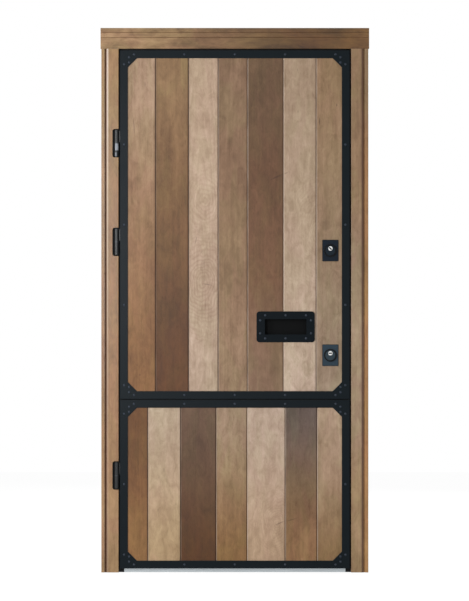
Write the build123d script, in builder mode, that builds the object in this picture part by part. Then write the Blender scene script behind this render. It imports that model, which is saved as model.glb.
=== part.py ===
import os

from build123d import *

# Outward opening entrance door: a folded steel frame with board casings, and one insulated
# steel leaf faced with two fields of planks in riveted strap frames.
# Millimetres. X runs across the doorway, Y from the outside face inwards, Z up.
# The origin is the middle of the threshold's front edge, on the floor.

# Frame
frame_width = 960.0
frame_height = 2050.0
frame_depth = 90.0
frame_face = 53.0
rebate_depth = 64.0
stop_width = 20.0
frame_lip = 22.0
frame_sheet = 2.0
bend_radius = 3.0
threshold_height = 30.0
threshold_stop = 18.0

# Casings round the frame
casing_width = 67.0
casing_thickness = 18.0
casing_inner_x = 448.0
casing_height = 2020.0
moulding_step = 12.2
moulding_floor = 2.5
moulding_crest = 31.0
moulding_depth = 8.0
header_height = 80.0
header_overhang = 3.0
header_thickness = 20.0
header_groove_heights = (2063.5, 2083.0)
header_groove_width = 3.4
header_groove_depth = 2.6

# Leaf
leaf_width = 885.0
leaf_bottom = 16.0
leaf_top = 2013.0
leaf_clearance = 7.0
lap_gap = 5.0
skin_thickness = 2.0
tray_depth = 63.0
tray_sheet = 2.0
panel_thickness = 10.0
panel_inset = 17.0
stiffener_width = 24.0
stiffener_centres = (-225.0, 20.0, 308.0)

# Planks and strap frames
plank_thickness = 14.0
plank_gap = 0.4
plank_bevel = 2.8
upper_plank_joints = (-305.7, -178.8, -63.6, 48.8, 187.6, 314.5)
lower_plank_joints = (-335.8, -208.9, -71.9, 47.6, 194.6, 317.6)
strap_width = 30.0
strap_thickness = 3.0
gusset_leg = 35.0
seam_height = 667.5
seam_gap = 4.0

# Domed rivets: each corner has four, and the straps between carry evenly spaced ones
rivet_radius = 4.7
rivet_rise = 2.6
rivet_shoulder = (3.5, 1.7)
rivet_shank = 4.0
rivet_length = 14.0
corner_rivets = ((54.0, 15.0), (35.0, 26.0), (35.0, 46.0), (16.0, 53.0))
rivet_pitch_x = 194.25

# Flush pull handle
handle_x = 195.8
handle_z = 947.5
handle_width = 224.6
handle_height = 119.0
handle_corner = 12.0
handle_plate = 3.6
cup_width = 161.0
cup_height = 60.0
cup_corner = 2.0
cup_undercut = 6.0
cup_depth = 33.0
cup_wall = 2.0
handle_rivets = ((0.0, 44.6), (78.5, 44.6), (98.0, 25.0))

# Hinges: height of each knuckle joint above the floor
hinge_heights = {"top": 1655.8, "middle": 1275.3, "bottom": 374.1}
hinge_axis_x = -456.0
hinge_axis_y = -14.0
barrel_radius = 10.0
barrel_length = 49.5
washer_thickness = 3.0
washer_radius = 9.4
pin_radius = 6.0
pin_clearance = 0.06
pin_reach = 34.0
notch_height = 110.0
notch_left_x = -472.3
notch_corner = 9.0
weld_margin = 3.0
pad_width = 12.0

# Locks: height of each plate's centre, and the turn of its key slot seen from outside
lock_heights = {"upper": 1241.6, "lower": 838.1}
key_slot_turns = {"upper": 135.0, "lower": 0.0}
lock_x = 368.0
plug_rise = 7.8
lock_plate_width = 62.0
lock_plate_height = 83.0
lock_plate_thickness = 3.5
boss_radius = 24.75
boss_height = 11.5
boss_front_wall = 3.0
guard_outline = (
    (0, 0),
    (boss_radius, 0),
    (boss_radius, 4.5),
    (22.8, 6.5),
    (20.4, 6.5),
    (19.2, 5),
    (19.2, boss_height - 1.2),
    (18, boss_height),
    (0, boss_height),
)
head_radius = 8.5
tail_drop = 24.5
tail_width = 10.0
plug_radius = 6.45
plug_bore = 6.5
cam_reach = 15.0
cam_width = 8.0
cam_thickness = 10.0
cam_gap = 11.0
key_slot = (10.4, 3.2)
key_slot_depth = 24.0
case_front_y = 10.0
case_thickness = 30.0
case_depth = 83.0
case_height = 150.0
case_sheet = 2.0
case_clearance = 0.2
forend_thickness = 3.0
forend_height = 190.0
bolt_radius = 8.0
bolt_hole_clearance = 0.3
bolt_spacing = 50.0
bolt_length = 32.0
carriage_thickness = 6.0
carriage_left_inset = 75.0
carriage_right_inset = 29.0
carriage_end = 13.0
fork_z = (-38.0, 22.0)
fork_clearance = 2.0
strike_thickness = 2.5
strike_width = 30.0
strike_height = 190.0
mortise_width = 22.0
mortise_height = 128.0
keep_wall = 1.5
keep_depth = 24.0
keep_clearance = 0.25
inner_plate_radius = 27.0
inner_plate_thickness = 6.0
inner_plate_drop = 6.0
turn_radius = 15.0
turn_base = 6.0
turn_grip = (34.0, 9.0)
turn_grip_length = 16.0

# Inner pull bar
bar_x = 368.0
bar_z = 1047.5
bar_span = 200.0
bar_stand_off = 40.0
bar_radius = 8.0
bar_overhang = 25.0
post_radius = 6.0
rose_radius = 14.0
rose_thickness = 4.0

# Rubber seals
seal_width = 8.0
stop_seal_thickness = 5.7
seal_clearance = 0.3

# Wall anchor holes through the jambs, as heights above the floor
anchor_radius = 6.0
anchor_y = 35.0
hinge_side_anchors = (230.0, 715.0, 1185.0, 1830.0)
lock_side_anchors = (200.0, 620.0, 1060.0, 1800.0)

# Worked out from the sizes above
jamb_x = frame_width / 2
reveal_x = jamb_x - frame_face
stop_x = reveal_x - stop_width
head_z = frame_height - frame_face
leaf_x = leaf_width / 2
skin_back = -lap_gap
skin_front = skin_back - skin_thickness
plank_front = skin_front - plank_thickness
strap_front = plank_front - strap_thickness
tray_back = skin_back + tray_depth
panel_back = tray_back + panel_thickness
tray_x = reveal_x - leaf_clearance
tray_bottom = threshold_height + leaf_clearance
tray_top = head_z - leaf_clearance
field_x = leaf_x - strap_thickness
upper_field = (seam_height + seam_gap / 2, leaf_top)
lower_field = (leaf_bottom, seam_height - seam_gap / 2)
bolt_y = case_front_y + case_thickness / 2
forend_x = tray_x - tray_sheet - case_clearance
case_right = forend_x - forend_thickness
case_left = case_right - case_depth


def facing_out(y):
    # The plane at depth y that looks out of the doorway: local x is X and local y is Z
    return Plane.XZ.offset(-y)


def save(piece, name):
    piece.part.label = name
    export_step(piece.part, f"parts/{name}.step")


def slab(x_range, z_range, y_front, y_back):
    # A flat board between two depths
    with BuildSketch(facing_out(y_back)) as outline:
        centre = (sum(x_range) / 2, sum(z_range) / 2)
        with Locations(centre):
            Rectangle(x_range[1] - x_range[0], z_range[1] - z_range[0])
    extrude(outline.sketch, amount=y_back - y_front)


def folded_sheet(points, side, radii):
    # A sheet bent along the given outline, with its thickness on one side
    with BuildLine() as bent:
        FilletPolyline(*points, radius=radii)
        offset(amount=frame_sheet, side=side)
    make_face(bent.edges())


def frame_outline(edge, inward):
    # The folded profile of jambs and head, from the outer edge at the given place
    across = (0, 0, frame_face, frame_face, frame_face + stop_width, frame_face + stop_width, 0, 0)
    depth = (frame_lip, 0, 0, rebate_depth, rebate_depth, frame_depth, frame_depth, frame_depth - frame_lip)
    return [(edge + inward * a, d) for a, d in zip(across, depth)]


def lock_profile(height, clearance):
    # The section of a profile cylinder: a round head with a narrower tail under it
    tail = tail_drop - tail_width / 2
    with Locations((lock_x, height)):
        Circle(head_radius + clearance)
    with Locations((lock_x, height - tail / 2)):
        SlotCenterToCenter(tail, tail_width + 2 * clearance, rotation=90)


def cut_lock_profile(clearance, y_front, y_back, heights=tuple(lock_heights.values())):
    for height in heights:
        with BuildSketch(facing_out(y_back)) as outline:
            lock_profile(height + plug_rise, clearance)
        extrude(outline.sketch, amount=y_back - y_front, mode=Mode.SUBTRACT)


def cut_bolt_holes(height, x_from, x_to):
    with BuildSketch(Plane.YZ.offset(x_to)) as outline:
        with Locations(*[(bolt_y, height + plug_rise + i * bolt_spacing) for i in (-1, 0, 1)]):
            Circle(bolt_radius + bolt_hole_clearance)
    extrude(outline.sketch, amount=x_from - x_to, mode=Mode.SUBTRACT)


def build_jamb(side, anchors):
    # One upright of the frame, mitred under the head; side is -1 at the hinges, 1 at the locks
    mitre = Plane((side * jamb_x, 0, frame_height), x_dir=(0, 1, 0), z_dir=(side, 0, 1))
    with BuildPart() as jamb:
        with BuildSketch(Plane.XY):
            points = frame_outline(side * jamb_x, -side)
            folded_sheet(points, Side.LEFT if side < 0 else Side.RIGHT, bend_radius)
        extrude(amount=frame_height)
        split(bisect_by=mitre, keep=Keep.BOTTOM)
        with BuildSketch(Plane.YZ.offset(side * reveal_x)):
            with Locations(*[(anchor_y, z) for z in anchors]):
                Circle(anchor_radius)
        extrude(amount=frame_sheet * 2, both=True, mode=Mode.SUBTRACT)
        if side > 0:
            edge = 2 * (keep_wall + keep_clearance)
            with BuildSketch(Plane.YZ.offset(reveal_x)):
                with Locations(*[(bolt_y, z + plug_rise) for z in lock_heights.values()]):
                    Rectangle(mortise_width + edge, mortise_height + edge)
            extrude(amount=frame_sheet * 2, both=True, mode=Mode.SUBTRACT)
    return jamb


def build_head():
    mitre_left = Plane((-jamb_x, 0, frame_height), x_dir=(0, 1, 0), z_dir=(-1, 0, 1))
    mitre_right = Plane((jamb_x, 0, frame_height), x_dir=(0, 1, 0), z_dir=(1, 0, 1))
    with BuildPart() as head:
        with BuildSketch(Plane.YZ):
            points = [(d, z) for z, d in frame_outline(frame_height, -1)]
            folded_sheet(points, Side.LEFT, bend_radius)
        extrude(amount=jamb_x, both=True)
        split(bisect_by=mitre_left, keep=Keep.TOP)
        split(bisect_by=mitre_right, keep=Keep.TOP)
    return head


def build_threshold():
    # A folded stainless sill between the jambs, notched round their stops
    outline = [
        (frame_lip, 0),
        (0, 0),
        (0, threshold_height),
        (rebate_depth, threshold_height),
        (rebate_depth, threshold_height + threshold_stop),
        (frame_depth, threshold_height + threshold_stop),
        (frame_depth, 0),
        (frame_depth - frame_lip, 0),
    ]
    with BuildPart() as threshold:
        with BuildSketch(Plane.YZ):
            folded_sheet(outline, Side.RIGHT, (0, bend_radius, bend_radius, bend_radius, bend_radius, 0))
        extrude(amount=reveal_x, both=True)
        with BuildSketch(Plane.XY):
            with BuildLine():
                Polyline(
                    (stop_x, rebate_depth),
                    (reveal_x - bend_radius, rebate_depth),
                    (reveal_x, rebate_depth - bend_radius),
                    (jamb_x, rebate_depth - bend_radius),
                    (jamb_x, 2 * frame_depth),
                    (stop_x, 2 * frame_depth),
                    close=True,
                )
            make_face()
            mirror(about=Plane.YZ)
        extrude(amount=frame_height, mode=Mode.SUBTRACT)
    return threshold


def build_side_casing(side):
    # A board with rounded arrises and, near its outer edge, a routed step and quarter round
    centre_x = side * (casing_inner_x + casing_width / 2)
    outer_x = side * (casing_inner_x + casing_width)
    face_y = -casing_thickness
    floor_y = face_y + moulding_depth
    step_x = outer_x - side * moulding_step
    toe_x = step_x - side * moulding_floor
    crest_x = outer_x - side * moulding_crest
    with BuildPart() as casing:
        with BuildSketch(Plane.XY):
            with Locations((centre_x, -casing_thickness / 2)):
                board = Rectangle(casing_width, casing_thickness)
            fillet(board.vertices().group_by(Axis.Y)[0], radius=2)
            with BuildLine():
                TangentArc((crest_x, face_y), (toe_x, floor_y), tangent=(side, 0))
                Polyline((toe_x, floor_y), (step_x, floor_y), (step_x, face_y), (crest_x, face_y))
            make_face(mode=Mode.SUBTRACT)
        extrude(amount=casing_height)
        if side < 0:
            notch_width = 2 * (-casing_inner_x - notch_left_x)
            with BuildSketch(facing_out(0)):
                with Locations(*[(-casing_inner_x, z) for z in hinge_heights.values()]):
                    RectangleRounded(notch_width, notch_height, notch_corner)
            extrude(amount=casing_thickness, mode=Mode.SUBTRACT)
    return casing


def build_header():
    half_length = casing_inner_x + casing_width + header_overhang
    with BuildPart() as header:
        with BuildSketch(Plane.YZ):
            with Locations((-header_thickness / 2, casing_height + header_height / 2)):
                board = Rectangle(header_thickness, header_height)
            fillet(board.vertices().group_by(Axis.X)[0], radius=1.5)
            for z in header_groove_heights:
                with Locations((-header_thickness, z)):
                    Ellipse(header_groove_depth, header_groove_width / 2, mode=Mode.SUBTRACT)
        extrude(amount=half_length, both=True)
    return header


def seal_ring(outer_x, z_low, z_high, y_back, thickness):
    # A flat rubber strip run round a rectangle
    with BuildPart() as seal:
        centre_z = (z_low + z_high) / 2
        with BuildSketch(facing_out(y_back)):
            with Locations((0, centre_z)):
                Rectangle(2 * outer_x, z_high - z_low)
                inner_height = z_high - z_low - 2 * seal_width
                Rectangle(2 * (outer_x - seal_width), inner_height, mode=Mode.SUBTRACT)
        extrude(amount=thickness)
    return seal


def build_strike(height):
    # A strike plate on the jamb's reveal, pressed with a keep box that reaches in through the mortise
    centre = (bolt_y, height + plug_rise)
    with BuildPart() as strike:
        with BuildSketch(Plane.YZ.offset(reveal_x - strike_thickness)):
            with Locations(centre):
                SlotOverall(strike_height, strike_width, rotation=90)
        extrude(amount=strike_thickness)
        with BuildSketch(Plane.YZ.offset(reveal_x)):
            with Locations(centre):
                Rectangle(mortise_width + 2 * keep_wall, mortise_height + 2 * keep_wall)
        extrude(amount=keep_depth)
        with BuildSketch(Plane.YZ.offset(reveal_x - strike_thickness)):
            with Locations(centre):
                Rectangle(mortise_width, mortise_height)
        extrude(amount=strike_thickness + keep_depth - keep_wall, mode=Mode.SUBTRACT)
    return strike


def build_frame_half(height):
    # The lower barrel, with its pad welded to the frame's face and a socket for the pin
    top = height - washer_thickness / 2
    with BuildPart() as half:
        with BuildSketch(Plane.XY.offset(top - barrel_length)):
            with Locations((hinge_axis_x, hinge_axis_y)):
                Circle(barrel_radius)
        extrude(amount=barrel_length)
        chamfer(half.edges().group_by(Axis.Z)[0], length=1)
        with BuildSketch(Plane.XY.offset(top - barrel_length + weld_margin)):
            with Locations((hinge_axis_x, hinge_axis_y / 2)):
                Rectangle(pad_width, -hinge_axis_y)
        extrude(amount=barrel_length - 2 * weld_margin)
        with BuildSketch(Plane.XY.offset(top)):
            with Locations((hinge_axis_x, hinge_axis_y)):
                Circle(pin_radius)
        extrude(amount=-pin_reach, mode=Mode.SUBTRACT)
    return half


def build_leaf_half(height):
    # The upper barrel, bored for the pin, with a bridge welded to the leaf's lap
    base = height + washer_thickness / 2
    bridge_left = hinge_axis_x + pin_radius + 1
    with BuildPart() as half:
        with BuildSketch(Plane.XY.offset(base)):
            with Locations((hinge_axis_x, hinge_axis_y)):
                Circle(barrel_radius)
        extrude(amount=barrel_length)
        chamfer(half.edges().group_by(Axis.Z)[-1], length=1)
        with BuildSketch(Plane.XY.offset(base + weld_margin)):
            with Locations(((bridge_left - leaf_x) / 2, (hinge_axis_y + skin_back) / 2)):
                Rectangle(-leaf_x - bridge_left, skin_back - hinge_axis_y)
        extrude(amount=barrel_length - 2 * weld_margin)
        with BuildSketch(Plane.XY.offset(base)):
            with Locations((hinge_axis_x, hinge_axis_y)):
                Circle(pin_radius + pin_clearance)
        extrude(amount=pin_reach + 2, mode=Mode.SUBTRACT)
    return half


def build_hinge_pins():
    with BuildPart() as pins:
        for height in hinge_heights.values():
            with BuildSketch(Plane.XY.offset(height - washer_thickness / 2 - pin_reach)):
                with Locations((hinge_axis_x, hinge_axis_y)):
                    Circle(pin_radius)
            extrude(amount=2 * pin_reach + washer_thickness)
        chamfer(pins.edges().filter_by(GeomType.CIRCLE), length=0.8)
    return pins


def build_hinge_washers():
    with BuildPart() as washers:
        for height in hinge_heights.values():
            with BuildSketch(Plane.XY.offset(height - washer_thickness / 2)):
                with Locations((hinge_axis_x, hinge_axis_y)):
                    Circle(washer_radius)
                    Circle(pin_radius + 0.3, mode=Mode.SUBTRACT)
            extrude(amount=washer_thickness)
    return washers


def build_skin():
    # The outer sheet, which laps over the frame's face all round
    with BuildPart() as skin:
        slab((-leaf_x, leaf_x), (leaf_bottom, leaf_top), skin_front, skin_back)
        cut_cup(skin_front, skin_back, 0.3)
        cut_lock_profile(1, skin_front, skin_back)
    return skin


def cut_cup(y_front, y_back, clearance):
    with BuildSketch(facing_out(y_back)) as outline:
        with Locations((handle_x, handle_z)):
            grow = 2 * (cup_undercut + cup_wall + clearance)
            Rectangle(cup_width + grow, cup_height + grow)
    extrude(outline.sketch, amount=y_back - y_front, mode=Mode.SUBTRACT)


def build_tray():
    # The leaf's folded inner pan, open towards the skin, with round holes for the lock bolts
    with BuildPart() as tray:
        slab((-tray_x, tray_x), (tray_bottom, tray_top), skin_back, tray_back)
        opening = tray.faces().sort_by(Axis.Y)[0]
        offset(amount=-tray_sheet, openings=opening)
        for height in lock_heights.values():
            cut_bolt_holes(height, tray_x - 2 * tray_sheet, tray_x)
        cut_lock_profile(1, tray_back - tray_sheet, tray_back)
    return tray


def build_stiffeners():
    # Upright channels between the skin and the back of the pan
    depth = tray_depth - tray_sheet
    with BuildPart() as stiffeners:
        with BuildSketch(Plane.XY.offset(tray_bottom + tray_sheet)):
            for x in stiffener_centres:
                with Locations((x, skin_back + depth / 2)):
                    Rectangle(stiffener_width, depth)
                with Locations((x + tray_sheet, skin_back + depth / 2)):
                    Rectangle(stiffener_width, depth - 2 * tray_sheet, mode=Mode.SUBTRACT)
        extrude(amount=tray_top - tray_bottom - 2 * tray_sheet)
    return stiffeners


def build_insulation():
    # Mineral wool slabs in the bays between the stiffeners, cut out round the cup and the locks
    edges = [-tray_x + tray_sheet]
    for x in stiffener_centres:
        edges += [x - stiffener_width / 2, x + stiffener_width / 2]
    edges.append(tray_x - tray_sheet)
    with BuildPart() as insulation:
        z_range = (tray_bottom + tray_sheet, tray_top - tray_sheet)
        for left, right in zip(edges[0::2], edges[1::2]):
            slab((left, right), z_range, skin_back, tray_back - tray_sheet)
        cut_cup(skin_back, cup_depth + plank_front + cup_wall, 0.5)
        with BuildSketch(facing_out(tray_back)):
            for z in lock_heights.values():
                with Locations(((case_left + tray_x) / 2, z + plug_rise)):
                    Rectangle(tray_x - case_left + 4, forend_height + 10)
        extrude(amount=tray_depth, mode=Mode.SUBTRACT)
    return insulation


def build_inner_panel():
    with BuildPart() as panel:
        half_width = tray_x - panel_inset
        z_range = (tray_bottom + panel_inset, tray_top - panel_inset)
        slab((-half_width, half_width), z_range, tray_back, panel_back)
        chamfer(panel.faces().sort_by(Axis.Y)[-1].edges(), length=1.5)
        cut_lock_profile(1, tray_back, panel_back)
    return panel


def strap_rivet_points(low, high, side_count):
    points = []
    for side in (-1, 1):
        for inset_x, inset_z in corner_rivets:
            points.append((side * (leaf_x - inset_x), low + inset_z))
            points.append((side * (leaf_x - inset_x), high - inset_z))
    for z in (low + corner_rivets[0][1], high - corner_rivets[0][1]):
        points += [(x, z) for x in (-rivet_pitch_x, 0, rivet_pitch_x)]
    first = low + corner_rivets[-1][1]
    step = (high - low - 2 * corner_rivets[-1][1]) / (side_count + 1)
    for side in (-1, 1):
        x = side * (leaf_x - corner_rivets[-1][0])
        points += [(x, first + step * (i + 1)) for i in range(side_count)]
    return points


upper_rivets = strap_rivet_points(*upper_field, side_count=3)
lower_rivets = strap_rivet_points(*lower_field, side_count=1)
pull_rivets = [
    (handle_x + side * x, handle_z + up * z)
    for x, z in handle_rivets
    for side in ((-1, 1) if x else (1,))
    for up in (-1, 1)
]


def cut_shank_holes(points, y_seat):
    # Square holes for the rivet shanks, from the face they seat on
    with BuildSketch(facing_out(y_seat)) as outline:
        with Locations(*points):
            Rectangle(rivet_shank, rivet_shank)
    extrude(outline.sketch, amount=-rivet_length, mode=Mode.SUBTRACT)


def build_rivets(points, y_seat):
    # A low domed head turned in two slopes, on a square shank
    shoulder_radius, shoulder_rise = rivet_shoulder
    with BuildPart() as rivet:
        with BuildSketch(Plane.XY):
            with BuildLine():
                Polyline(
                    (0, 0),
                    (rivet_radius, 0),
                    (shoulder_radius, -shoulder_rise),
                    (0, -rivet_rise),
                    close=True,
                )
            make_face()
        revolve(axis=Axis.Y)
        with BuildSketch(facing_out(0)):
            Rectangle(rivet_shank, rivet_shank)
        extrude(amount=-rivet_length)
    with BuildPart() as rivets:
        with Locations(*[(x, y_seat, z) for x, z in points]):
            add(rivet.part)
    return rivets


def build_plank(x_range, z_range, rivets, pull_cut, lock_cut):
    with BuildPart() as plank:
        slab(x_range, z_range, plank_front, skin_front)
        upright = plank.faces().sort_by(Axis.Y)[0].edges().filter_by(Axis.Z)
        chamfer(upright, length=plank_bevel)
        if pull_cut:
            cut_cup(plank_front, skin_front, 0.3)
        if lock_cut:
            cut_lock_profile(1, plank_front, skin_front)
        reach = rivet_shank / 2
        near = [p for p in rivets if x_range[0] - reach < p[0] < x_range[1] + reach]
        strap_points = [p for p in near if p not in pull_rivets]
        handle_points = [p for p in near if p in pull_rivets]
        if strap_points:
            cut_shank_holes(strap_points, strap_front)
        if handle_points:
            cut_shank_holes(handle_points, plank_front - handle_plate)
    return plank


def build_strap_frame(field, rivets):
    # Four flat straps and their corner gussets in one, with a turned edge back to the skin
    low, high = field
    inner_x = leaf_x - strap_width
    inner_low, inner_high = low + strap_width, high - strap_width
    with BuildPart() as frame:
        with BuildSketch(facing_out(plank_front)):
            with Locations((0, (low + high) / 2)):
                Rectangle(leaf_width, high - low)
            with BuildLine():
                Polyline(
                    (-inner_x + gusset_leg, inner_low),
                    (inner_x - gusset_leg, inner_low),
                    (inner_x, inner_low + gusset_leg),
                    (inner_x, inner_high - gusset_leg),
                    (inner_x - gusset_leg, inner_high),
                    (-inner_x + gusset_leg, inner_high),
                    (-inner_x, inner_high - gusset_leg),
                    (-inner_x, inner_low + gusset_leg),
                    close=True,
                )
            make_face(mode=Mode.SUBTRACT)
        extrude(amount=strap_thickness)
        with BuildSketch(facing_out(skin_front)):
            with Locations((0, (low + high) / 2)):
                Rectangle(leaf_width, high - low)
                edge = 2 * strap_thickness
                Rectangle(leaf_width - edge, high - low - edge, mode=Mode.SUBTRACT)
        extrude(amount=plank_thickness)
        chamfer(frame.faces().sort_by(Axis.Y)[0].edges(), length=0.6)
        cut_shank_holes(rivets, strap_front)
    return frame


def build_pull_handle():
    # A plate with a pressed cup behind it; the cup is wider than its mouth, for the fingers
    with BuildPart() as handle:
        with BuildSketch(facing_out(plank_front)):
            with Locations((handle_x, handle_z)):
                RectangleRounded(handle_width, handle_height, handle_corner)
        extrude(amount=handle_plate)
        chamfer(handle.faces().sort_by(Axis.Y)[0].edges(), length=0.9)
        with BuildSketch(facing_out(plank_front)):
            with Locations((handle_x, handle_z)):
                grow = 2 * (cup_undercut + cup_wall)
                Rectangle(cup_width + grow, cup_height + grow)
        extrude(amount=-cup_depth - cup_wall)
        with BuildSketch(facing_out(plank_front)):
            with Locations((handle_x, handle_z)):
                Rectangle(cup_width + 2 * cup_undercut, cup_height + 2 * cup_undercut)
        extrude(amount=-cup_depth, mode=Mode.SUBTRACT)
        with BuildSketch(facing_out(plank_front)):
            with Locations((handle_x, handle_z)):
                RectangleRounded(cup_width, cup_height, cup_corner)
        extrude(amount=handle_plate, mode=Mode.SUBTRACT)
        cut_shank_holes(pull_rivets, plank_front - handle_plate)
    return handle


def build_escutcheon(height):
    front = plank_front - lock_plate_thickness
    with BuildPart() as plate:
        with BuildSketch(facing_out(plank_front)):
            with Locations((lock_x, height)):
                RectangleRounded(lock_plate_width, lock_plate_height, 2.5)
        extrude(amount=lock_plate_thickness)
        chamfer(plate.faces().sort_by(Axis.Y)[0].edges(), length=0.8)
        cut_lock_profile(0.5, front, plank_front, (height,))
    return plate


def build_guard(height):
    # A turned guard over the cylinder: a stepped boss with a sunk ring and one hole for the plug
    seat = plank_front - lock_plate_thickness
    front = seat - boss_height
    with BuildPart() as guard:
        with BuildSketch(Plane.XY.offset(height)):
            with BuildLine():
                Polyline(*[(lock_x + radius, seat - rise) for radius, rise in guard_outline], close=True)
            make_face()
        revolve(axis=Axis((lock_x, 0, height), (0, 1, 0)))
        cut_lock_profile(0.3, front + boss_front_wall, seat, (height,))
        with BuildSketch(facing_out(seat)):
            with Locations((lock_x, height + plug_rise)):
                Circle(head_radius + 0.2)
        extrude(amount=boss_height, mode=Mode.SUBTRACT)
    return guard


def cylinder_front():
    return plank_front - lock_plate_thickness - boss_height + boss_front_wall + 0.2


def build_cylinder(height):
    # The stationary body: two bored heads joined by the tail under the cam's gap
    front, back = cylinder_front(), panel_back + inner_plate_thickness - 0.5
    centre = height + plug_rise
    with BuildPart() as cylinder:
        with BuildSketch(facing_out(back)):
            lock_profile(centre, 0)
        extrude(amount=back - front)
        with BuildSketch(facing_out(back)):
            with Locations((lock_x, centre)):
                Circle(plug_bore)
        extrude(amount=back - front, mode=Mode.SUBTRACT)
        with BuildSketch(facing_out(bolt_y + cam_gap / 2)):
            with Locations((lock_x, centre)):
                Rectangle(4 * head_radius, 2 * cam_reach + 3)
        extrude(amount=cam_gap, mode=Mode.SUBTRACT)
    return cylinder


def build_plug(height, turn):
    # The turning core from face to face, with the cam in the middle and a key slot outside
    front, back = cylinder_front(), panel_back + inner_plate_thickness + 2
    centre = height + plug_rise
    with BuildPart() as plug:
        with BuildSketch(facing_out(back)):
            with Locations((lock_x, centre)):
                Circle(plug_radius)
        extrude(amount=back - front)
        with BuildSketch(facing_out(bolt_y + cam_thickness / 2)):
            with Locations((lock_x, centre)):
                Circle(head_radius - 0.2)
            with Locations((lock_x, centre - cam_reach / 2)):
                SlotCenterToCenter(cam_reach - cam_width, cam_width, rotation=90)
        extrude(amount=cam_thickness)
        with BuildSketch(facing_out(front)):
            with Locations((lock_x, centre)):
                Rectangle(*key_slot, rotation=turn)
        extrude(amount=-key_slot_depth, mode=Mode.SUBTRACT)
    return plug


def build_thumbturn(height):
    seat = panel_back + inner_plate_thickness + 2
    centre = height + plug_rise
    with BuildPart() as turn:
        with BuildSketch(facing_out(seat)):
            with Locations((lock_x, centre)):
                Circle(turn_radius)
        extrude(amount=-turn_base)
        with BuildSketch(facing_out(seat + turn_base)):
            with Locations((lock_x, centre)):
                SlotOverall(*turn_grip, rotation=90)
        extrude(amount=-turn_grip_length)
        chamfer(turn.faces().sort_by(Axis.Y)[-1].edges(), length=1.2)
    return turn


def build_lock_case(height):
    # A folded case behind a forend plate, open inside for the bolts and pierced by the cylinder
    centre = height + plug_rise
    z_range = (centre - case_height / 2, centre + case_height / 2)
    case_back_y = case_front_y + case_thickness
    with BuildPart() as case:
        slab((case_left, case_right), z_range, case_front_y, case_back_y)
        inner_z = (z_range[0] + case_sheet, z_range[1] - case_sheet)
        with BuildSketch(facing_out(case_back_y - case_sheet)):
            with Locations(((case_left + case_right) / 2, centre)):
                Rectangle(case_depth - 2 * case_sheet, inner_z[1] - inner_z[0])
        extrude(amount=case_thickness - 2 * case_sheet, mode=Mode.SUBTRACT)
        slab(
            (case_right, forend_x),
            (centre - forend_height / 2, centre + forend_height / 2),
            case_front_y,
            case_back_y,
        )
        cut_lock_profile(0.3, case_front_y, case_back_y, (height,))
        cut_bolt_holes(height, case_right - 2 * case_sheet, forend_x)
    return case


def build_bolts(height):
    # Three round bolts on a forked carriage that clears the cylinder
    centre = height + plug_rise
    left = tray_x - carriage_left_inset
    right = tray_x - carriage_right_inset
    fork_right = lock_x + cam_reach + fork_clearance
    with BuildPart() as bolts:
        with BuildSketch(facing_out(bolt_y + carriage_thickness / 2)):
            with Locations(((left + right) / 2, centre)):
                Rectangle(right - left, 2 * (bolt_spacing + carriage_end))
            with Locations(((left + fork_right) / 2, centre + sum(fork_z) / 2)):
                Rectangle(fork_right - left, fork_z[1] - fork_z[0], mode=Mode.SUBTRACT)
        extrude(amount=carriage_thickness)
        with BuildSketch(Plane.YZ.offset(tray_x)):
            with Locations(*[(bolt_y, centre + i * bolt_spacing) for i in (-1, 0, 1)]):
                Circle(bolt_radius)
        extrude(amount=-bolt_length)
        chamfer(bolts.faces().sort_by(Axis.X)[-3:].edges(), length=1)
    return bolts


def build_inner_plates():
    with BuildPart() as plates:
        for height in lock_heights.values():
            with BuildSketch(facing_out(panel_back)):
                with Locations((lock_x, height + plug_rise - inner_plate_drop)):
                    Circle(inner_plate_radius)
            extrude(amount=-inner_plate_thickness)
        chamfer(plates.faces().sort_by(Axis.Y)[-2:].edges(), length=1.2)
        cut_lock_profile(0.5, panel_back, panel_back + inner_plate_thickness)
    return plates


def build_inner_bar():
    # A straight bar on two posts, each with a rose against the panel
    ends = [(bar_x, bar_z - bar_span / 2), (bar_x, bar_z + bar_span / 2)]
    with BuildPart() as bar:
        with BuildSketch(Plane.XY.offset(ends[0][1] - bar_overhang)):
            with Locations((bar_x, panel_back + bar_stand_off)):
                Circle(bar_radius)
        extrude(amount=bar_span + 2 * bar_overhang)
        chamfer(bar.edges().filter_by(GeomType.CIRCLE), length=1)
        with BuildSketch(facing_out(panel_back)):
            with Locations(*ends):
                Circle(post_radius)
        extrude(amount=-bar_stand_off)
        with BuildSketch(facing_out(panel_back)):
            with Locations(*ends):
                Circle(rose_radius)
        extrude(amount=-rose_thickness)
    return bar


def field_planks(name, field, joints, rivets):
    low, high = field[0] + strap_thickness, field[1] - strap_thickness
    edges = (-field_x - plank_gap / 2, *joints, field_x + plank_gap / 2)
    for number, (left, right) in enumerate(zip(edges, edges[1:]), start=1):
        x_range = (left + plank_gap / 2, right - plank_gap / 2)
        upper = name == "upper"
        pull_cut = upper and left < handle_x + cup_width / 2 and right > handle_x - cup_width / 2
        lock_cut = upper and left < lock_x < right
        plank = build_plank(x_range, (low, high), rivets, pull_cut, lock_cut)
        save(plank, f"{name}_plank_{number}")


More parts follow.
